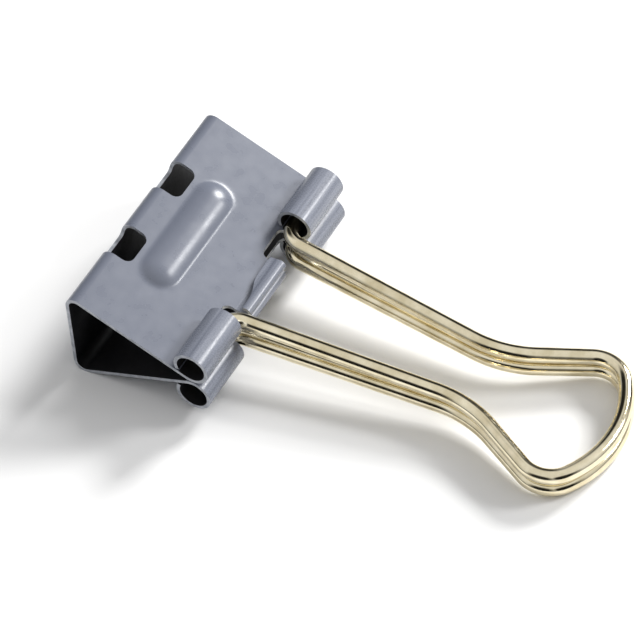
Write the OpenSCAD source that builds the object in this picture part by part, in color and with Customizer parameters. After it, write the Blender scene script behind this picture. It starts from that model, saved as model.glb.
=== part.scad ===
// Binder clip: a folded spring steel body and two wire handles that pivot in its rolled lips.
// +X runs from the spine to the handle tips, +Y along the folds, +Z up.
// The origin is the centre of the spine's outer face. Sizes are in millimetres.

/* [Spring steel body] */
// Width of the clip along its folds
clip_width = 19.05; // [18:0.05:20]
// Outer height of the spine, from fold to fold
spine_height = 7.56; // [7.2:0.02:8]
// Thickness of the spring steel sheet
sheet = 0.26; // [0.24:0.01:0.28]
// Inside radius of each fold
fold_radius = 0.57; // [0.4:0.01:0.7]

/* [Knuckles] */
// Distance from the spine's outer face to the centre of the knuckles
knuckle_x = 9.75; // [9.6:0.05:10]
// Bore radius of the rolled knuckles
knuckle_bore = 1.07; // [1.05:0.01:1.12]
// Distance from the middle of the clip to the inner end of a knuckle
knuckle_start = 4.85; // [4.8:0.05:5]
// Direction in which the roll of a knuckle ends, in degrees
knuckle_end_angle = 205; // [190:1:206]
// Half of the gap between the two closed jaws
mouth_half_gap = 0.04; // [0.03:0.01:0.1]

/* [Tongue] */
// Half width of the tongue between the two notches
tongue_half_width = 2.45; // [2.2:0.05:2.6]
// Distance from the spine's outer face to the centre of the tongue's small hem
hem_x = 10.0; // [9.9:0.05:10.2]
// Outside radius of the hem
hem_radius = 0.52; // [0.45:0.01:0.55]
// Direction in which the roll of the hem ends, in degrees
hem_end_angle = 190; // [150:1:200]

/* [Slots over the folds] */
// Distance from the middle of the clip to the near side of a slot
slot_near = 1.95; // [1.6:0.05:2.2]
// Distance from the middle of the clip to the far side of a slot
slot_far = 4.65; // [4.4:0.05:5]
// How far a slot runs into the jaw, from the spine's outer face
slot_depth = 2.25; // [1.8:0.05:2.4]
// How far a slot runs down the spine, from the top of the fold
slot_drop = 1.0; // [0.9:0.05:1.3]
// Corner radius of the slots
slot_corner = 0.6; // [0.3:0.05:0.8]

/* [Stiffening bead] */
// Distance from the spine's outer face to the middle of the bead
bead_x = 3.95; // [3.85:0.05:4.2]
// Height of the bead above the sheet
bead_height = 0.45; // [0.3:0.01:0.5]
// Half width of the bead where it meets the sheet
bead_half_width = 1.4; // [1.2:0.05:1.5]
// Half length of the bead, round ends included
bead_half_length = 4.9; // [4.5:0.05:5.2]

/* [Wire handles] */
// Diameter of the wire
wire = 1.12; // [1:0.01:1.14]
// Distance from a handle's pivot to the outermost point of its wire axis
handle_length = 27.5; // [26:0.1:29]
// Half distance between the arms at the pivot
arm_half_gap = 3.94; // [3.8:0.02:4]
// Where the two arms come closest, from the pivot
waist_at = 17.8; // [16:0.1:18.5]
// Half distance between the arms at the waist
waist_half_gap = 2.37; // [2.1:0.01:2.6]
// Bend radius at the waist
waist_bend = 8.2; // [5:0.1:9]
// Angle at which the loop widens after the waist
flare_angle = 27.2; // [24:0.1:29]
// Bend radius of the two corners of the loop
corner_bend = 2.25; // [1.8:0.05:2.6]
// Bend radius of the loop's end
tip_bend = 8.15; // [7.8:0.05:8.6]
// Bend radius between an arm and its foot
foot_bend = 1.3; // [1.2:0.05:1.4]
// Distance from the middle of the clip to the cut end of a foot
foot_end = 8.2; // [7:0.1:9]
// Distance from the spine's outer face to the pivots
pivot_x = 9.55; // [9.5:0.01:9.6]
// Distance from the mid-plane to each pivot
pivot_z = 0.93; // [0.92:0.01:0.95]
// How far the upper handle hangs below the mid-plane, in degrees
upper_droop = 3.95; // [3.9:0.01:4]
// How far the lower handle hangs below the mid-plane, in degrees
lower_droop = 2.47; // [2.4:0.01:2.5]

/* [Hidden] */
$fn = 96;
past = 1;

steel_paint = [0.60, 0.62, 0.67];
plated_wire = [0.84, 0.81, 0.70];

// The fold and the knuckle are circles, and the jaw's inner face is the straight line between them.
fold_centre = [sheet + fold_radius, spine_height / 2 - sheet - fold_radius];
knuckle_radius = knuckle_bore + sheet;
knuckle_centre = [knuckle_x, mouth_half_gap + knuckle_radius];
fold_to_knuckle = knuckle_centre - fold_centre;
jaw_slope = atan2(fold_to_knuckle.y, fold_to_knuckle.x)
    - asin((fold_radius + knuckle_radius) / norm(fold_to_knuckle));
jaw_along = [cos(jaw_slope), sin(jaw_slope)];
jaw_normal = [-sin(jaw_slope), cos(jaw_slope)];
jaw_root = fold_centre + fold_radius * jaw_normal;
jaw_front = knuckle_centre - knuckle_radius * jaw_normal;
hem_centre = [hem_x, mouth_half_gap + hem_radius];

// The bead is the part of a long capsule that stands above the jaw's outer face.
bead_radius = (bead_half_width * bead_half_width + bead_height * bead_height) / (2 * bead_height);
bead_crest = jaw_root + jaw_along * (bead_x - jaw_root.x) / jaw_along.x + (sheet + bead_height) * jaw_normal;
bead_axis = bead_crest - bead_radius * jaw_normal;
bead_straight = bead_half_length - bead_half_width;

// The notch lies between the tongue and the knuckle, and runs back from the jaw's front line.
notch_width = knuckle_start - tongue_half_width;
notch_depth = 1.18;
notch_corner = 1.1;

// The roll is drawn with a thick wall, which the true bore then cuts back to the sheet's thickness.
thick_wall = 1.6 * sheet;
bore_lead = 8;

// The wire is swept as a prism with this many sides, and its feet are true cylinders.
wire_sides = 16;
sweep_radius = wire / 2 - 0.001;
foot_overlap = 0.3;

// The corners of one half of a handle, in the handle's own plane, with its pivot at the origin.
function unit(v) = v / norm(v);
function turn_left(v) = [-v.y, v.x];
function heading(v) = atan2(v.y, v.x);
// Where a bend of radius r starts before a corner, and its centre, between two directions
function bend_side(d1, d2) = sign(d1.x * d2.y - d1.y * d2.x);
function bend_reach(d1, d2, r) = r * tan(acos(d1 * d2) / 2);
function bend_start(corner, d1, d2, r) = corner - d1 * bend_reach(d1, d2, r);
function bend_centre(corner, d1, d2, r) =
    bend_start(corner, d1, d2, r) + r * bend_side(d1, d2) * turn_left(d1);

arm_corner = [0, arm_half_gap];
waist_corner = [waist_at, waist_half_gap];
foot_way = [0, -1];
arm_way = unit(waist_corner - arm_corner);
flare_way = [cos(flare_angle), sin(flare_angle)];
// The corner bend touches the flare line and the inside of the end bend.
tip_centre = [handle_length - tip_bend, 0];
corner_offset = waist_corner - corner_bend * turn_left(flare_way) - tip_centre;
corner_along = -corner_offset * flare_way + sqrt(pow(corner_offset * flare_way, 2)
    - corner_offset * corner_offset + pow(tip_bend - corner_bend, 2));
corner_centre = tip_centre + corner_offset + flare_way * corner_along;
tip_half_angle = heading(corner_centre - tip_centre);

// Points of an arc about a centre, about one every four degrees
function arc(centre, radius, from, to) =
    let (steps = max(2, round(abs(to - from) / 4)))
    [for (i = [0:steps]) centre + radius * [cos(from + (to - from) * i / steps), sin(from + (to - from) * i / steps)]];

// Section of the spine and its two folds
function spine_outline() =
    let (
        upper_outer = arc(fold_centre, fold_radius + sheet, 180, 90 + jaw_slope),
        upper_inner = arc(fold_centre, fold_radius, 180, 90 + jaw_slope),
        last = len(upper_outer) - 1
    )
    concat(
        [for (i = [last:-1:0]) [upper_outer[i].x, -upper_outer[i].y]],
        upper_outer,
        [for (i = [last:-1:0]) upper_inner[i]],
        [for (p = upper_inner) [p.x, -p.y]]
    );

// Section of a jaw between its fold and its lip
function plate_outline() = [jaw_root, jaw_front, jaw_front + sheet * jaw_normal, jaw_root + sheet * jaw_normal];

// Section of a jaw through a knuckle, before the bore is cut
function knuckle_outline() =
    let (
        start = jaw_slope - 90,
        inner_radius = knuckle_radius - thick_wall,
        lead_length = knuckle_bore * tan(bore_lead)
    )
    concat(
        [jaw_root],
        arc(knuckle_centre, knuckle_radius, start, knuckle_end_angle),
        arc(knuckle_centre, inner_radius, knuckle_end_angle, start),
        [
            jaw_front + sheet * jaw_normal - lead_length * jaw_along,
            jaw_root + sheet * jaw_normal
        ]
    );

// Section of a jaw through the tongue: it levels out at the mouth and ends in a small hem
function tongue_outline() =
    let (start = jaw_slope - 90)
    concat(
        [jaw_root],
        arc(knuckle_centre, knuckle_radius, start, -90),
        arc(hem_centre, hem_radius, -90, hem_end_angle),
        arc(hem_centre, hem_radius - sheet, hem_end_angle, -90),
        arc(knuckle_centre, knuckle_bore, -90, start),
        [jaw_root + sheet * jaw_normal]
    );

// A rectangle from a corner, with its two far corners rounded
function rounded_outline(size, radius) =
    concat(
        [[0, 0]],
        arc([size.x - radius, radius], radius, -90, 0),
        arc([size.x - radius, size.y - radius], radius, 0, 90),
        [[0, size.y]]
    );

// A length of folded sheet with the given section in the XZ plane, between two places along Y
module folded(outline, from, to) {
    translate([0, to, 0])
        rotate([90, 0, 0])
            linear_extrude(height = to - from)
                polygon(outline);
}

// One slot over the upper fold: down through the jaw, and in through the spine
module slot() {
    width = slot_far - slot_near;
    translate([fold_radius, slot_near, 0])
        linear_extrude(height = spine_height)
            polygon(rounded_outline([slot_depth - fold_radius, width], slot_corner));
    translate([fold_centre.x, slot_near, spine_height])
        rotate([0, 90, 180])
            mirror([0, 1, 0])
                linear_extrude(height = fold_centre.x + past)
                    polygon(rounded_outline([spine_height / 2 + slot_drop, width], slot_corner));
}

module slots() {
    slot();
    mirror([0, 1, 0])
        slot();
}

// One notch beside the tongue, open towards the mouth
module notch() {
    reach = knuckle_radius;
    translate([jaw_front.x + reach, knuckle_start, -past])
        rotate([0, 0, 180])
            linear_extrude(height = spine_height)
                polygon(rounded_outline([notch_depth + reach, notch_width], notch_corner));
}

// A cylinder with round ends along Y, as one turned solid
module capsule(radius) {
    translate([bead_axis.x, 0, bead_axis.y])
        rotate([90, 0, 0])
            rotate_extrude()
                polygon(concat(
                    arc([0, -bead_straight], radius, -90, 0),
                    arc([0, bead_straight], radius, 0, 90)
                ));
}

// The part of the bead that stands above the jaw's inner face
module bead() {
    reach = 2 * bead_half_width;
    low = bead_axis - reach * jaw_along;
    high = bead_axis + reach * jaw_along;
    depth = (jaw_root - bead_axis) * jaw_normal;
    intersection() {
        capsule(bead_radius);
        folded([
            low + (depth + sheet / 2) * jaw_normal,
            high + (depth + sheet / 2) * jaw_normal,
            high + reach * jaw_normal,
            low + reach * jaw_normal
        ], -clip_width / 2, clip_width / 2);
    }
}

module knuckle() {
    difference() {
        folded(knuckle_outline(), knuckle_start, clip_width / 2);
        translate([knuckle_centre.x, clip_width / 2 + past, knuckle_centre.y])
            rotate([90, 0, 0])
                cylinder(r = knuckle_bore, h = clip_width / 2 - knuckle_start + 2 * past);
    }
}

module jaw() {
    difference() {
        union() {
            knuckle();
            mirror([0, 1, 0])
                knuckle();
            folded(plate_outline(), tongue_half_width, knuckle_start);
            folded(plate_outline(), -knuckle_start, -tongue_half_width);
            folded(tongue_outline(), -tongue_half_width, tongue_half_width);
            bead();
        }
        capsule(bead_radius - sheet);
        slots();
        notch();
        mirror([0, 1, 0])
            notch();
    }
}

// The flat back of the clip with its two folds
module spine() {
    color(steel_paint)
        difference() {
            folded(spine_outline(), -clip_width / 2, clip_width / 2);
            slots();
            mirror([0, 0, 1])
                slots();
        }
}

module upper_jaw() {
    color(steel_paint)
        jaw();
}

module lower_jaw() {
    color(steel_paint)
        mirror([0, 0, 1])
            jaw();
}

// Points of a bend as [x, y, heading], travelled from one angle to another about its centre
function bend_points(centre, radius, from, to, steps) = [
    for (i = [0:steps])
        let (a = from + (to - from) * i / steps)
            [centre.x + radius * cos(a), centre.y + radius * sin(a), a + 90 * sign(to - from)]
];

// One half of the wire's route, from inside the foot to the end bend
function half_route() =
    let (
        foot_top = bend_start(arm_corner, foot_way, arm_way, foot_bend),
        foot_centre = bend_centre(arm_corner, foot_way, arm_way, foot_bend),
        foot_turn = 90 + heading(arm_way),
        waist_centre = bend_centre(waist_corner, arm_way, flare_way, waist_bend)
    )
    concat(
        [[0, foot_top.y + foot_overlap, heading(foot_way)]],
        bend_points(foot_centre, foot_bend, 180, 180 + foot_turn, 9),
        bend_points(waist_centre, waist_bend, heading(arm_way) - 90, flare_angle - 90, 6),
        bend_points(corner_centre, corner_bend, flare_angle + 90, tip_half_angle, 9)
    );

function wire_route() =
    let (
        half = half_route(),
        end = bend_points(tip_centre, tip_bend, tip_half_angle, -tip_half_angle, 14),
        last = len(half) - 1
    )
    concat(
        half,
        [for (i = [1:len(end) - 2]) end[i]],
        [for (i = [last:-1:0]) [half[i].x, -half[i].y, 180 - half[i].z]]
    );

// A round wire along points of the handle's plane, each with its heading
module swept_wire(route) {
    rings = len(route);
    points = [
        for (p = route)
            for (j = [0:wire_sides - 1])
                let (
                    a = 360 * j / wire_sides,
                    out = sweep_radius * cos(a)
                )
                    [p.x - out * sin(p.z), p.y + out * cos(p.z), sweep_radius * sin(a)]
    ];
    skin = [
        for (i = [0:rings - 2])
            for (j = [0:wire_sides - 1])
                let (k = (j + 1) % wire_sides)
                    [
                        i * wire_sides + j,
                        (i + 1) * wire_sides + j,
                        (i + 1) * wire_sides + k,
                        i * wire_sides + k
                    ]
    ];
    first_cap = [for (j = [0:wire_sides - 1]) j];
    last_cap = [for (j = [wire_sides - 1:-1:0]) (rings - 1) * wire_sides + j];
    polyhedron(points, concat(skin, [first_cap, last_cap]));
}

// The straight end of the wire that turns in a knuckle
module foot() {
    foot_top = bend_start(arm_corner, foot_way, arm_way, foot_bend);
    translate([0, foot_top.y, 0])
        rotate([-90, 0, 0])
            cylinder(d = wire, h = foot_end - foot_top.y);
}

module handle(droop) {
    rotate([0, droop, 0]) {
        swept_wire(wire_route());
        foot();
        mirror([0, 1, 0])
            foot();
    }
}

module upper_handle() {
    color(plated_wire)
        translate([pivot_x, 0, pivot_z])
            handle(upper_droop);
}

module lower_handle() {
    color(plated_wire)
        translate([pivot_x, 0, -pivot_z])
            handle(lower_droop);
}

spine();
upper_jaw();
lower_jaw();
upper_handle();
lower_handle();
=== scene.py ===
# Binder clip: a folded spring steel body in blue-grey paint, with two plated wire handles.
import bpy
from math import radians, degrees, sin, cos, tan, asin, atan2, exp, hypot, sqrt
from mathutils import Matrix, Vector


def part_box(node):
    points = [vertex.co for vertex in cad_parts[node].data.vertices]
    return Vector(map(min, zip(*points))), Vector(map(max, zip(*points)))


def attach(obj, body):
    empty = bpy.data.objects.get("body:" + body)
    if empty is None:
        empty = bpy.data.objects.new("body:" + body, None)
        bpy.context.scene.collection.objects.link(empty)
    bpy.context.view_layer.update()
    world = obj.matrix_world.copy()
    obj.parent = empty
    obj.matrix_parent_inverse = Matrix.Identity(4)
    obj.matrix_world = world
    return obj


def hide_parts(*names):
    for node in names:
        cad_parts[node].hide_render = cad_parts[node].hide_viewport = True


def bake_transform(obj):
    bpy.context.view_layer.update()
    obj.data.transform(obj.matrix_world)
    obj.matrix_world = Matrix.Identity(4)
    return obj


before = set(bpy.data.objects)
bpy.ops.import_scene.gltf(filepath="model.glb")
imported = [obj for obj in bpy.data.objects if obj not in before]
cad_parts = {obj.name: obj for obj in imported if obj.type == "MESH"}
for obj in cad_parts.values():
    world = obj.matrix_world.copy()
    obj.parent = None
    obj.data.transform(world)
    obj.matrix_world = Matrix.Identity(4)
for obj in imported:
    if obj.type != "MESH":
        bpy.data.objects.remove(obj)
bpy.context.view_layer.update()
print("frame loaded")

# Pieces are shaped in millimetres and then brought to metres.
millimetre = 0.001
# The slack when parts are picked by place, in millimetres.
hair = 0.01

cameraSetup = {
    "place": (0.11139, -0.15203, 0.21587),
    "turn": (39.602, 2.846, 29.048),
    "lens": 229.77,
    "sensor": 36,
    "shift": (-0.0048, 0.0041),
    "clip": (0.01, 20),
}


def addCamera(setup):
    turn = [radians(angle) for angle in setup["turn"]]
    bpy.ops.object.camera_add(location=setup["place"], rotation=turn)
    camera = bpy.context.object
    camera.name = "camera"
    camera.data.lens = setup["lens"]
    camera.data.sensor_width = setup["sensor"]
    camera.data.shift_x, camera.data.shift_y = setup["shift"]
    camera.data.clip_start, camera.data.clip_end = setup["clip"]
    bpy.context.scene.camera = camera


addCamera(cameraSetup)
bpy.context.scene.view_settings.view_transform = "Standard"
print("camera placed")


def clearSelection():
    if bpy.context.object and bpy.context.object.mode != "OBJECT":
        bpy.ops.object.mode_set(mode="OBJECT")
    bpy.ops.object.select_all(action="DESELECT")


def pickOnly(piece):
    clearSelection()
    piece.select_set(True)
    bpy.context.view_layer.objects.active = piece


def pickParts(kind, wanted):
    # selects the vertices that pass the test, or the edges whose two ends pass it
    piece = bpy.context.object
    bpy.ops.mesh.select_all(action="DESELECT")
    bpy.ops.mesh.select_mode(type=kind)
    bpy.ops.object.mode_set(mode="OBJECT")
    points = piece.data.vertices
    if kind == "VERT":
        for point in points:
            point.select = wanted(point.co)
    else:
        for edge in piece.data.edges:
            ends = [points[i].co for i in edge.vertices]
            edge.select = wanted(ends[0]) and wanted(ends[1])
    bpy.ops.object.mode_set(mode="EDIT")


def applyModifier(piece, kind, settings):
    pickOnly(piece)
    modifier = piece.modifiers.new(kind.lower(), kind)
    for setting, value in settings.items():
        setattr(modifier, setting, value)
    bpy.ops.object.modifier_apply(modifier=modifier.name)


def toMetres(piece, smoothAngle):
    # smoothAngle is in degrees
    pickOnly(piece)
    piece.scale = (millimetre, millimetre, millimetre)
    bpy.ops.object.transform_apply(location=True, rotation=True, scale=True)
    bpy.ops.object.shade_smooth_by_angle(angle=radians(smoothAngle))


def newMaterial(name):
    material = bpy.data.materials.new(name)
    material.use_nodes = True
    tree = material.node_tree
    shader = tree.nodes["Principled BSDF"]
    place = tree.nodes.new("ShaderNodeTexCoord")
    return material, tree, shader, place.outputs["Object"]


def addNoise(tree, place, size, detail=3.0, stretch=None):
    # size is the width of a spot in millimetres
    noise = tree.nodes.new("ShaderNodeTexNoise")
    noise.inputs["Scale"].default_value = 1 / (size * millimetre)
    noise.inputs["Detail"].default_value = detail
    if stretch:
        mapping = tree.nodes.new("ShaderNodeMapping")
        mapping.inputs["Scale"].default_value = stretch
        tree.links.new(place, mapping.inputs["Vector"])
        place = mapping.outputs["Vector"]
    tree.links.new(place, noise.inputs["Vector"])
    return noise.outputs["Fac"]


def addRamp(tree, source, low, high, start=0.3, end=0.7):
    ramp = tree.nodes.new("ShaderNodeValToRGB")
    ramp.color_ramp.elements[0].position = start
    ramp.color_ramp.elements[1].position = end
    ramp.color_ramp.elements[0].color = (*low, 1)
    ramp.color_ramp.elements[1].color = (*high, 1)
    tree.links.new(source, ramp.inputs["Fac"])
    return ramp.outputs["Color"]


def addRange(tree, source, low, high):
    spread = tree.nodes.new("ShaderNodeMapRange")
    # most of a noise lies between these two levels
    spread.inputs["From Min"].default_value = 0.3
    spread.inputs["From Max"].default_value = 0.7
    spread.inputs["To Min"].default_value = low
    spread.inputs["To Max"].default_value = high
    tree.links.new(source, spread.inputs["Value"])
    return spread.outputs["Result"]


def addBump(tree, source, shader, strength, depth):
    bump = tree.nodes.new("ShaderNodeBump")
    bump.inputs["Strength"].default_value = strength
    bump.inputs["Distance"].default_value = depth * millimetre
    tree.links.new(source, bump.inputs["Height"])
    tree.links.new(bump.outputs["Normal"], shader.inputs["Normal"])


# Spots, grain and depths are in millimetres.
paintLook = {
    "dark": (0.128, 0.141, 0.180),
    "light": (0.141, 0.154, 0.194),
    "roughness": (0.26, 0.33),
    "patch": 4.2,
    "peel": 0.12,
    "peelDepth": 0.004,
    "peelStrength": 0.25,
}
# Rolling leaves fine lines along the lips in their roughness and bump; the lighter lines in their colour are
# painted highlight streaks.
lipHighlightLook = {
    "dark": (0.118, 0.130, 0.165),
    "light": (0.228, 0.243, 0.290),
    "roughness": (0.20, 0.36),
    "patch": 0.35,
    "peel": 0.16,
    "peelDepth": 0.03,
    "peelStrength": 0.25,
    "lines": (1, 0.04, 1),
}
# Near-black painted shade for the inside face of the sheet, the fold's hollow, the bores and the mouth.
paintedShadeLook = {
    "dark": (0.002, 0.002, 0.003),
    "light": (0.005, 0.005, 0.007),
    "roughness": (0.45, 0.6),
    "patch": 2.0,
    "peel": 0.15,
    "peelDepth": 0.004,
    "peelStrength": 0.25,
}


def makePaint(name, look):
    material, tree, shader, place = newMaterial(name)
    lines = look.get("lines")
    patches = addNoise(tree, place, look["patch"], 3, lines)
    colour = addRamp(tree, patches, look["dark"], look["light"])
    tree.links.new(colour, shader.inputs["Base Color"])
    wear = addNoise(tree, place, look["patch"] / 4)
    tree.links.new(addRange(tree, wear, *look["roughness"]), shader.inputs["Roughness"])
    peel = addNoise(tree, place, look["peel"], 2, lines)
    addBump(tree, peel, shader, look["peelStrength"], look["peelDepth"])
    return material


edgeLook = {
    "dark": (0.30, 0.32, 0.36),
    "light": (0.52, 0.54, 0.58),
    "roughness": (0.35, 0.5),
    "patch": 0.5,
    "metal": 0.5,
    "burr": 0.01,
    "burrStrength": 0.3,
}


def makeCutEdge(look):
    material, tree, shader, place = newMaterial("cutSteelEdge")
    patches = addNoise(tree, place, look["patch"])
    colour = addRamp(tree, patches, look["dark"], look["light"])
    tree.links.new(colour, shader.inputs["Base Color"])
    tree.links.new(addRange(tree, patches, *look["roughness"]), shader.inputs["Roughness"])
    shader.inputs["Metallic"].default_value = look["metal"]
    addBump(tree, patches, shader, look["burrStrength"], look["burr"])
    return material


platingLook = {
    "dark": (0.72, 0.63, 0.42),
    "light": (0.93, 0.85, 0.64),
    "roughness": (0.09, 0.17),
    "patch": 1.4,
    "grain": 0.25,
    "grainStretch": (0.15, 1, 1),
    "grainDepth": 0.004,
    "grainStrength": 0.08,
}


def makePlating(look):
    material, tree, shader, place = newMaterial("warmNickelPlating")
    patches = addNoise(tree, place, look["patch"])
    colour = addRamp(tree, patches, look["dark"], look["light"])
    tree.links.new(colour, shader.inputs["Base Color"])
    grain = addNoise(tree, place, look["grain"], 4, look["grainStretch"])
    tree.links.new(addRange(tree, grain, *look["roughness"]), shader.inputs["Roughness"])
    shader.inputs["Metallic"].default_value = 1
    addBump(tree, grain, shader, look["grainStrength"], look["grainDepth"])
    return material


paint = makePaint("bluegreyPaint", paintLook)
# the rolled lips' paint, with painted highlight streaks in its colour
lipHighlightPaint = makePaint("rolledLipHighlightPaint", lipHighlightLook)
# the near-black painted shade for the hollows, bores and mouth
paintedShadePaint = makePaint("paintedShadeInside", paintedShadeLook)
cutEdge = makeCutEdge(edgeLook)
plating = makePlating(platingLook)
print("finishes mixed")


# Each half of the body is one sheet, from the middle of the spine to the rolled lip.
bodySize = {
    "halfWidth": 9.525,
    "sheet": 0.26,
    "spineHalfHeight": 3.78,
    "foldRadius": 0.57,
    "foldSteps": 16,
    "knuckleX": 9.75,
    "bore": 1.07,
    "knuckleStart": 4.85,
    "knuckleEnd": 205,  # degrees
    "rollSteps": 48,
    "boreFloor": 8.22,  # the length of jaw after which it is the floor of the bore
    "skin": 0.06,
    # the tongue and its hem
    "mouthHalfGap": 0.04,
    "tongue": (-2.85, 2.05),
    "levelSteps": 5,
    "hemX": 10.2,
    "hemRadius": 0.42,
    "hemSteps": 20,
    # where the mouth's painted shade ends along the tongue
    "mouthEnd": 10.1,
    "hemFlap": (0.2, 0.8),
    "flapEdge": (0.05, 0.02),
    "waveMiddle": 0.42,
    "waveSteepness": 14,
    "waveDip": 0.06,
    # slots: near side, far side, depth along the jaw, drop down the spine
    "slot": (1.95, 4.65, 2.25, 1.0),
    "slotCorner": 0.6,
    "notchBack": 8.6,
    "notchCorner": 0.55,
    "beadX": 3.95,
    "beadHeight": 0.45,
    "beadHalfWidth": 1.4,
    "beadStraight": 3.55,
    "beadFoot": 0.35,
    # grid lines: close and wide ones across the width, a net by the bead, and two more along the jaw
    "lineStep": 0.22,
    "lineCount": 25,
    "lineGap": 0.05,
    "wideLines": (6.2, 7.3, 8.4),
    "netStep": 0.2,
    "netCount": 10,
    "jawLines": (6.2, 7.2),
    # two points by the fold where the real sheet bends as the jaws open, in metres
    "bend": ((0.0006, 0, 0.0034), (0.0024, 0, 0.0034)),
    "smoothAngle": 32,
}


def bodyPlan(size):
    # the inner face of the sheet in section: circles at the fold and the lip, and a line between them
    sheet, foldRadius = size["sheet"], size["foldRadius"]
    rollRadius = size["bore"] + sheet
    foldCentre = Vector((sheet + foldRadius, 0, size["spineHalfHeight"] - sheet - foldRadius))
    rollCentre = Vector((size["knuckleX"], 0, size["mouthHalfGap"] + rollRadius))
    reach = rollCentre - foldCentre
    slope = atan2(reach.z, reach.x) - asin((foldRadius + rollRadius) / reach.length)
    along = Vector((cos(slope), 0, sin(slope)))
    normal = Vector((-sin(slope), 0, cos(slope)))
    return {
        "foldCentre": foldCentre,
        "rollCentre": rollCentre,
        "rollRadius": rollRadius,
        "slope": slope,
        "along": along,
        "normal": normal,
        "root": foldCentre + foldRadius * normal,
        "front": rollCentre - rollRadius * normal,
        "hemCentre": Vector((size["hemX"], 0, size["mouthHalfGap"] + size["hemRadius"])),
    }


def near(point, target, reach=hair):
    return hypot(point.x - target.x, point.z - target.z) < reach


def turnLip(centre, angle, steps, axis=(0, 1, 0)):
    bpy.ops.mesh.spin(steps=steps, angle=angle, center=centre, axis=axis, use_auto_merge=False)


def endOf(centre, radius, angle):
    return centre + radius * Vector((cos(angle), 0, sin(angle)))


def cutLines(places, direction, origin=Vector((0, 0, 0))):
    for place in places:
        bpy.ops.mesh.select_all(action="SELECT")
        bpy.ops.mesh.bisect(plane_co=origin + place * direction, plane_no=direction, threshold=0.0001)


def makeBodyHalf(size, plan):
    clearSelection()
    high = plan["foldCentre"].z
    bpy.ops.mesh.primitive_plane_add(size=1, rotation=(0, radians(90), 0))
    half = bpy.context.object
    half.name = "upper_body"
    half.location = (size["sheet"], 0, high / 2)
    half.scale = (high, 2 * size["halfWidth"], 1)
    bpy.ops.object.transform_apply(location=True, rotation=True, scale=True)
    bpy.ops.object.mode_set(mode="EDIT")

    # the fold and the jaw
    foldTurn = radians(90) - plan["slope"]
    pickParts("EDGE", lambda p: p.z > high - hair)
    turnLip(plan["foldCentre"], foldTurn, size["foldSteps"], (0, -1, 0))
    pickParts("EDGE", lambda p: near(p, plan["root"]))
    bpy.ops.mesh.extrude_region_move(
        TRANSFORM_OT_translate={"value": plan["front"] - plan["root"]})

    # grid lines at the ends of the tongue and the knuckles, and between them
    ends = [*size["tongue"], size["knuckleStart"], -size["knuckleStart"]]
    fine = [size["lineStep"] * i for i in range(-size["lineCount"], size["lineCount"] + 1)]
    fine = [y for y in fine if min(abs(y - end) for end in ends) > size["lineGap"]]
    wide = [-y for y in reversed(size["wideLines"])] + [*size["wideLines"]]
    cutLines(ends + fine + wide, Vector((0, 1, 0)))
    beadPlace = (size["beadX"] - plan["root"].x) / plan["along"].x
    net = [beadPlace + size["netStep"] * i for i in range(-size["netCount"], size["netCount"] + 1)]
    cutLines(net + [*size["jawLines"], size["boreFloor"]], plan["along"], plan["root"])
    return half, beadPlace


def raiseBead(half, size, plan, beadPlace):
    crest = plan["root"] + beadPlace * plan["along"]
    straight = size["beadStraight"]
    pickParts("VERT", lambda p: near(p, crest, 2 * hair) and abs(p.y) < straight)
    bpy.ops.transform.translate(
        value=size["beadHeight"] * plan["normal"],
        use_proportional_edit=True,
        proportional_edit_falloff="INVERSE_SQUARE",
        proportional_size=size["beadHalfWidth"],
        use_proportional_connected=False)
    around = size["beadHalfWidth"] + size["beadFoot"]

    def byTheBead(p):
        off = Vector((p.x - crest.x, max(abs(p.y) - straight, 0), p.z - crest.z))
        return off.length < around
    pickParts("VERT", byTheBead)
    bpy.ops.mesh.vertices_smooth(factor=0.5, repeat=1)


def rollLips(half, size, plan):
    front = plan["front"]
    start = plan["slope"] - radians(90)
    knuckle = size["knuckleStart"] - hair
    tongueStart, tongueEnd = size["tongue"][0] - hair, size["tongue"][1] + hair

    def onTongue(p, line):
        return near(p, line) and tongueStart < p.y < tongueEnd
    for side in (1, -1):
        pickParts("EDGE", lambda p: near(p, front) and side * p.y > knuckle)
        turnLip(plan["rollCentre"], radians(size["knuckleEnd"]) - start, size["rollSteps"])

    # the tongue levels out, runs to its hem, and rolls up
    pickParts("EDGE", lambda p: onTongue(p, front))
    turnLip(plan["rollCentre"], -radians(90) - start, size["levelSteps"])
    level = endOf(plan["rollCentre"], plan["rollRadius"], -radians(90))
    pickParts("EDGE", lambda p: onTongue(p, level))
    hemFoot = endOf(plan["hemCentre"], size["hemRadius"], -radians(90))
    bpy.ops.mesh.extrude_region_move(TRANSFORM_OT_translate={"value": hemFoot - level})
    pickParts("EDGE", lambda p: onTongue(p, hemFoot))
    turnLip(plan["hemCentre"], radians(180), size["hemSteps"])

    # the hem's flap lies back over the tongue, shorter towards one side, with a wave in its edge
    hemTop = endOf(plan["hemCentre"], size["hemRadius"], radians(90))
    pickParts("EDGE", lambda p: onTongue(p, hemTop))
    narrow, broad = size["hemFlap"]
    edge, drop = size["flapEdge"]
    for reach in (narrow, edge):
        bpy.ops.mesh.extrude_region_move(TRANSFORM_OT_translate={"value": Vector((-reach, 0, -drop))})
    bpy.ops.object.mode_set(mode="OBJECT")
    for point in half.data.vertices:
        if point.select:
            along = (point.co.y - tongueStart) / (tongueEnd - tongueStart)
            wave = 1 / (1 + exp(-size["waveSteepness"] * (along - size["waveMiddle"])))
            point.co.x -= (broad - narrow) * wave
            point.co.z -= size["waveDip"] * wave
    bpy.ops.object.mode_set(mode="EDIT")


# the body's finishes, in the order of its material slots
bodyFinishes = (paint, cutEdge, lipHighlightPaint, paintedShadePaint)
paintSlot, edgeSlot, lipHighlightSlot, paintedShadeSlot = range(4)


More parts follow.
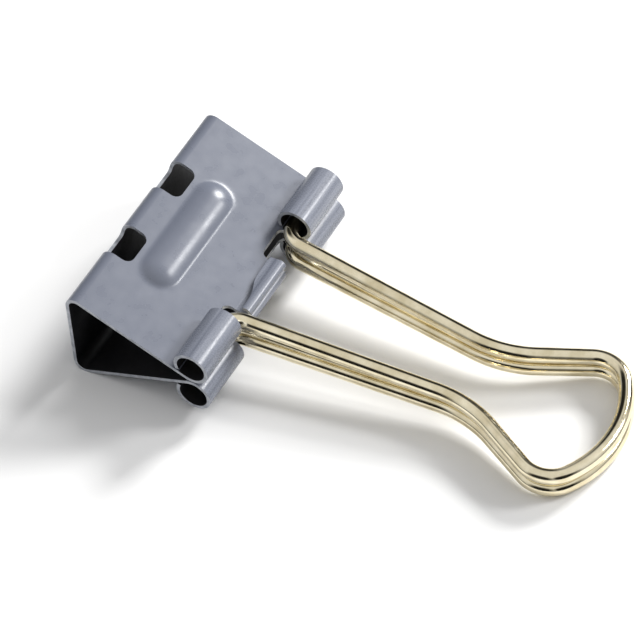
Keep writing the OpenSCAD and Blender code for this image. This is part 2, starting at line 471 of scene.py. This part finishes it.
def addCutter(low, high, roundEdge, radius):
    clearSelection()
    bpy.ops.mesh.primitive_cube_add(size=1)
    cutter = bpy.context.object
    cutter.location = (Vector(low) + Vector(high)) / 2
    cutter.scale = Vector(high) - Vector(low)
    bpy.ops.object.transform_apply(location=True, rotation=True, scale=True)
    bpy.ops.object.mode_set(mode="EDIT")
    pickParts("EDGE", roundEdge)
    bpy.ops.mesh.bevel(offset=radius, segments=8, affect="EDGES")
    bpy.ops.object.mode_set(mode="OBJECT")
    # the walls it leaves show the cut edge of the sheet
    cutter.data.materials.append(paint)
    cutter.data.materials.append(cutEdge)
    for face in cutter.data.polygons:
        face.material_index = edgeSlot
    return cutter


def cutAway(half, cutter):
    applyModifier(half, "BOOLEAN", {
        "operation": "DIFFERENCE", "object": cutter, "solver": "EXACT", "material_mode": "TRANSFER"})
    bpy.data.objects.remove(cutter)


def cutOpenings(half, size, plan):
    slotNear, slotFar, slotDepth, slotDrop = size["slot"]
    over = 1  # how far a cutter stands clear of the sheet
    top = size["spineHalfHeight"] + over
    foldX = plan["foldCentre"].x
    slotLow = size["spineHalfHeight"] - slotDrop
    for start, end in ((slotNear, slotFar), (-slotFar, -slotNear)):
        cutAway(half, addCutter(
            (size["foldRadius"], start, over / 2), (slotDepth, end, top),
            lambda p: p.x > slotDepth - hair, size["slotCorner"]))
        cutAway(half, addCutter(
            (-over, start, slotLow), (foldX, end, top),
            lambda p: p.z < slotLow + hair, size["slotCorner"]))
    notchBack, notchFront = size["notchBack"], plan["front"].x + 3 * over
    tongueStart, tongueEnd = size["tongue"]
    for start, end in ((tongueEnd, size["knuckleStart"]), (-size["knuckleStart"], tongueStart)):
        cutAway(half, addCutter(
            (notchBack, start, -over), (notchFront, end, top),
            lambda p: p.x < notchBack + hair, size["notchCorner"]))


def bodyFinish(face, size, plan):
    # the hollow, the bores, the mouth and the cut rims at the roll ends get near-black painted shade; the rolled
    # lips have their own finish
    middle, way = face.center, face.normal
    rollStart, rollEnd = degrees(plan["slope"]) - 90, size["knuckleEnd"] - 360
    fromRoll = Vector((middle.x, 0, middle.z)) - plan["rollCentre"]
    turn = degrees(atan2(fromRoll.z, fromRoll.x))
    rolled = not rollEnd < turn < rollStart and fromRoll.length < plan["rollRadius"] + size["skin"]
    inFold = middle.x < plan["root"].x and (middle - plan["foldCentre"]).dot(way) < 0
    atKnuckle = abs(middle.y) > size["knuckleStart"]
    if face.material_index == edgeSlot:
        # cut rims at the ends of the rolls take the painted shade too
        inRoll = middle.x > plan["rollCentre"].x - plan["rollRadius"]
        rollEdge = atKnuckle and inRoll and abs(way.y) < 0.5
        return paintedShadeSlot if rollEdge else edgeSlot
    if atKnuckle and rolled:
        return lipHighlightSlot if fromRoll.length > plan["rollRadius"] - size["skin"] else paintedShadeSlot
    if atKnuckle and (middle - plan["root"]).dot(plan["along"]) > size["boreFloor"]:
        return paintedShadeSlot
    if not atKnuckle and middle.x > plan["front"].x:
        facesMouth = way.z < -0.7 and middle.x < size["mouthEnd"]
        return paintedShadeSlot if facesMouth else lipHighlightSlot
    return paintedShadeSlot if inFold or way.dot(plan["normal"]) < -0.5 else paintSlot


def shadeBody(half, size, plan):
    for face in half.data.polygons:
        face.material_index = bodyFinish(face, size, plan)


def cleanMesh(piece, distance=0.0008):
    pickOnly(piece)
    bpy.ops.object.mode_set(mode="EDIT")
    bpy.ops.mesh.select_all(action="SELECT")
    bpy.ops.mesh.remove_doubles(threshold=distance)
    bpy.ops.mesh.dissolve_degenerate(threshold=distance / 4)
    bpy.ops.object.mode_set(mode="OBJECT")


def pointOutwards(piece):
    pickOnly(piece)
    bpy.ops.object.mode_set(mode="EDIT")
    bpy.ops.mesh.select_all(action="SELECT")
    bpy.ops.mesh.normals_make_consistent(inside=False)
    bpy.ops.object.mode_set(mode="OBJECT")


def thickenSheet(half, size):
    # the sheet drawn is the inner face, so its thickness goes outwards
    pointOutwards(half)
    spineFace = min(half.data.polygons, key=lambda face: face.center.x)
    applyModifier(half, "SOLIDIFY", {
        "thickness": size["sheet"],
        "offset": 1 if spineFace.normal.x < 0 else -1,
        "use_even_offset": True,
        "material_offset_rim": edgeSlot,
    })


def makeUpperBody(size, plan):
    half, beadPlace = makeBodyHalf(size, plan)
    raiseBead(half, size, plan, beadPlace)
    rollLips(half, size, plan)
    cleanMesh(half)
    for finish in bodyFinishes:
        half.data.materials.append(finish)
    thickenSheet(half, size)
    shadeBody(half, size, plan)
    cutOpenings(half, size, plan)
    cleanMesh(half, 0.0004)  # closer than before, to keep the cuts' corners
    toMetres(half, size["smoothAngle"])
    return half


def makeLowerBody(upperBody):
    half = upperBody.copy()
    half.data = upperBody.data.copy()
    half.name = "lower_body"
    bpy.context.collection.objects.link(half)
    pickOnly(half)
    half.scale = (1, 1, -1)
    bpy.ops.object.transform_apply(location=True, rotation=True, scale=True)
    pointOutwards(half)
    return half


plan = bodyPlan(bodySize)
upperBody = makeUpperBody(bodySize, plan)
print("upper body made with", len(upperBody.data.polygons), "faces")
lowerBody = makeLowerBody(upperBody)
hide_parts("spine", "upper_jaw")
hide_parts("lower_jaw")
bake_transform(upperBody)
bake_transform(lowerBody)
print("body made")


# The handles are round wire, drawn along its route and turned at each bend.
wireSize = {
    "radius": 0.56,
    "sides": 28,
    "length": 27.5,
    "armHalfGap": 3.94,
    "waistAt": 17.8,
    "waistHalfGap": 2.37,
    "waistBend": 8.2,
    "flare": 27.2,
    "cornerBend": 2.25,
    "tipBend": 8.15,
    "footBend": 1.3,
    "footEnd": 8.2,
    "endBevel": 0.12,
    "footSteps": 12,
    "waistSteps": 14,
    "tipSteps": 16,
    "smoothAngle": 40,
}
handlePlaces = {
    "upper_wire": {"body": "upper_handle", "pivot": (9.55, 0, 0.93), "droop": 3.95},
    "lower_wire": {"body": "lower_handle", "pivot": (9.55, 0, -0.93), "droop": 2.47},
}


def leftOf(way):
    return Vector((-way.y, way.x, 0))


def drawStraight(move):
    bpy.ops.mesh.extrude_region_move(TRANSFORM_OT_translate={"value": move})


def drawBend(centre, angle, steps):
    # spin turns clockwise about its axis
    bpy.ops.mesh.spin(steps=steps, angle=-angle, center=centre, axis=(0, 0, 1), use_auto_merge=False)


def makeWire(size):
    # where the bends start, in the handle's own plane, with the pivot at the origin
    foot = Vector((0, size["armHalfGap"], 0))
    waist = Vector((size["waistAt"], size["waistHalfGap"], 0))
    armWay = (waist - foot).normalized()
    armHeading = atan2(armWay.y, armWay.x)
    flare = radians(size["flare"])
    flareWay = Vector((cos(flare), sin(flare), 0))
    footTurn = radians(90) + armHeading
    footReach = size["footBend"] * tan(footTurn / 2)
    waistTurn = flare - armHeading
    waistReach = size["waistBend"] * tan(waistTurn / 2)
    footStart = foot + Vector((0, footReach, 0))
    waistStart = waist - waistReach * armWay
    # the corner bend touches the flare's line and sits inside the tip's circle
    tipCentre = Vector((size["length"] - size["tipBend"], 0, 0))
    offset = waist - size["cornerBend"] * leftOf(flareWay) - tipCentre
    inner = size["tipBend"] - size["cornerBend"]
    side = offset.dot(flareWay)
    toCorner = sqrt(side ** 2 - offset.length_squared + inner ** 2) - side
    corner = tipCentre + offset + flareWay * toCorner
    cornerStart = corner + size["cornerBend"] * leftOf(flareWay)
    waistEnd = waist + waistReach * flareWay
    tipAngle = atan2(corner.y, corner.x - tipCentre.x)

    clearSelection()
    bpy.ops.mesh.primitive_circle_add(
        vertices=size["sides"], radius=size["radius"], fill_type="NOTHING",
        location=(0, size["footEnd"], 0), rotation=(radians(90), 0, 0))
    wire = bpy.context.object
    bpy.ops.object.transform_apply(location=True, rotation=True, scale=True)
    bpy.ops.object.mode_set(mode="EDIT")
    bpy.ops.mesh.select_all(action="SELECT")
    drawStraight(Vector((0, footStart.y - size["footEnd"], 0)))
    drawBend(footStart + Vector((size["footBend"], 0, 0)), footTurn, size["footSteps"])
    drawStraight(waistStart - (foot + footReach * armWay))
    drawBend(waistStart + size["waistBend"] * leftOf(armWay), waistTurn, size["waistSteps"])
    drawStraight(cornerStart - waistEnd)
    drawBend(corner, tipAngle - flare - radians(90), size["tipSteps"])
    drawBend(tipCentre, -tipAngle, size["tipSteps"])

    # close and soften the cut end of the foot
    pickParts("EDGE", lambda p: p.y > size["footEnd"] - hair)
    bpy.ops.mesh.edge_face_add()
    bpy.ops.mesh.bevel(offset=size["endBevel"], segments=3, affect="EDGES")
    bpy.ops.object.mode_set(mode="OBJECT")
    applyModifier(wire, "MIRROR", {"use_axis": (False, True, False), "merge_threshold": 0.002})
    pickOnly(wire)
    bpy.ops.object.mode_set(mode="EDIT")
    bpy.ops.mesh.select_all(action="SELECT")
    bpy.ops.mesh.remove_doubles(threshold=0.002)
    bpy.ops.mesh.normals_make_consistent(inside=False)
    bpy.ops.object.mode_set(mode="OBJECT")
    wire.data.materials.append(plating)
    return wire


def placeHandle(wire, name, place):
    handle = wire.copy()
    handle.data = wire.data.copy()
    handle.name = name
    bpy.context.collection.objects.link(handle)
    pickOnly(handle)
    handle.rotation_euler = (0, radians(place["droop"]), 0)
    handle.location = place["pivot"]
    bpy.ops.object.transform_apply(location=True, rotation=True, scale=True)
    toMetres(handle, wireSize["smoothAngle"])
    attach(handle, place["body"])
    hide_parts(place["body"])


wire = makeWire(wireSize)
for name, place in handlePlaces.items():
    placeHandle(wire, name, place)
bpy.data.objects.remove(wire)
print("handles made")


floorLook = {
    "tone": (0.90, 0.90, 0.90),
    "shade": 0.985,
    "grain": 40,  # millimetres
    "roughness": 0.6,
    "shine": 0.2,
    "width": 8,  # metres
}


def makeTableFinish(look):
    material, tree, shader, place = newMaterial("paleTable")
    grain = addNoise(tree, place, look["grain"])
    darker = [look["shade"] * part for part in look["tone"]]
    tree.links.new(addRamp(tree, grain, darker, look["tone"]), shader.inputs["Base Color"])
    shader.inputs["Roughness"].default_value = look["roughness"]
    shader.inputs["Specular IOR Level"].default_value = look["shine"]
    return material


def makeFloor(look):
    # the clip lies on its lower fold and on the tip of its lower handle
    foldX = plan["foldCentre"].x * millimetre
    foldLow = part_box("spine")[0].z
    tipLow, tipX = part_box("lower_handle")[0].z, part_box("lower_handle")[1].x - wireSize["radius"] * millimetre
    tilt = atan2(tipLow - foldLow, tipX - foldX)
    clearSelection()
    bpy.ops.mesh.primitive_plane_add(
        size=look["width"], location=(foldX, 0, foldLow), rotation=(0, -tilt, 0))
    floor = bpy.context.object
    floor.name = "floor"
    floor.data.materials.append(makeTableFinish(look))


# The lights' places and sizes are in metres.
lightPlan = {
    "key": {"place": (0.15, 0.50, 0.34), "size": (0.18, 0.18), "power": 4.7, "tone": (1, 0.995, 0.985)},
    "side": {"place": (0.37, 0.29, 0.33), "size": (0.12, 0.10), "power": 1.2, "tone": (1, 1, 1)},
}
lightTarget = (0.018, 0, 0)


def addLights(lights, target):
    for name, light in lights.items():
        place = Vector(light["place"])
        turn = (place - Vector(target)).to_track_quat("Z", "Y").to_euler()
        bpy.ops.object.light_add(type="AREA", location=place, rotation=turn)
        lamp = bpy.context.object
        lamp.name = name
        lamp.data.shape = "RECTANGLE"
        lamp.data.size, lamp.data.size_y = light["size"]
        lamp.data.energy = light["power"]
        lamp.data.color = light["tone"]


roomLook = {
    "horizon": (0.04, 0.04, 0.04),
    "walls": (0.60, 0.61, 0.62),
    "ceiling": (0.80, 0.80, 0.80),
    "rise": (0.08, 0.20, 0.60),
    "standLevel": 0.02,
    # dark stands round the table: the way to each, and how sharply its edge falls off
    "stands": (
        ((0.83, -0.43, 0.37), (0.900, 0.950)),
        ((0.05, 0.93, 0.36), (0.800, 0.900)),
        ((-0.70, 0.35, 0.60), (0.860, 0.950)),
        ((0.10, -0.93, 0.30), (0.850, 0.940)),
    ),
}


def addStand(tree, way, toStand, edge, level):
    # 1 away from the stand, falling to level inside its edge
    closeness = tree.nodes.new("ShaderNodeVectorMath")
    closeness.operation = "DOT_PRODUCT"
    closeness.inputs[1].default_value = Vector(toStand).normalized()
    tree.links.new(way, closeness.inputs[0])
    fade = tree.nodes.new("ShaderNodeMapRange")
    fade.inputs["From Min"].default_value, fade.inputs["From Max"].default_value = edge
    fade.inputs["To Min"].default_value, fade.inputs["To Max"].default_value = 1, level
    tree.links.new(closeness.outputs["Value"], fade.inputs["Value"])
    return fade.outputs["Result"]


def multiply(tree, first, second):
    product = tree.nodes.new("ShaderNodeMath")
    product.operation = "MULTIPLY"
    tree.links.new(first, product.inputs[0])
    tree.links.new(second, product.inputs[1])
    return product.outputs["Value"]


def setRoom(look):
    world = bpy.data.worlds.new("room")
    world.use_nodes = True
    tree = world.node_tree
    background = tree.nodes["Background"]
    way = tree.nodes.new("ShaderNodeTexCoord").outputs["Generated"]
    split = tree.nodes.new("ShaderNodeSeparateXYZ")
    tree.links.new(way, split.inputs["Vector"])
    start, middle, end = look["rise"]
    brightness = addRamp(tree, split.outputs["Z"], look["horizon"], look["ceiling"], start, end)
    wall = brightness.node.color_ramp.elements.new(middle)
    wall.color = (*look["walls"], 1)
    tree.links.new(brightness, background.inputs["Color"])
    stands = [addStand(tree, way, *stand, look["standLevel"]) for stand in look["stands"]]
    level = stands[0]
    for stand in stands[1:]:
        level = multiply(tree, level, stand)
    tree.links.new(level, background.inputs["Strength"])
    bpy.context.scene.world = world


makeFloor(floorLook)
addLights(lightPlan, lightTarget)
setRoom(roomLook)
print("studio set")
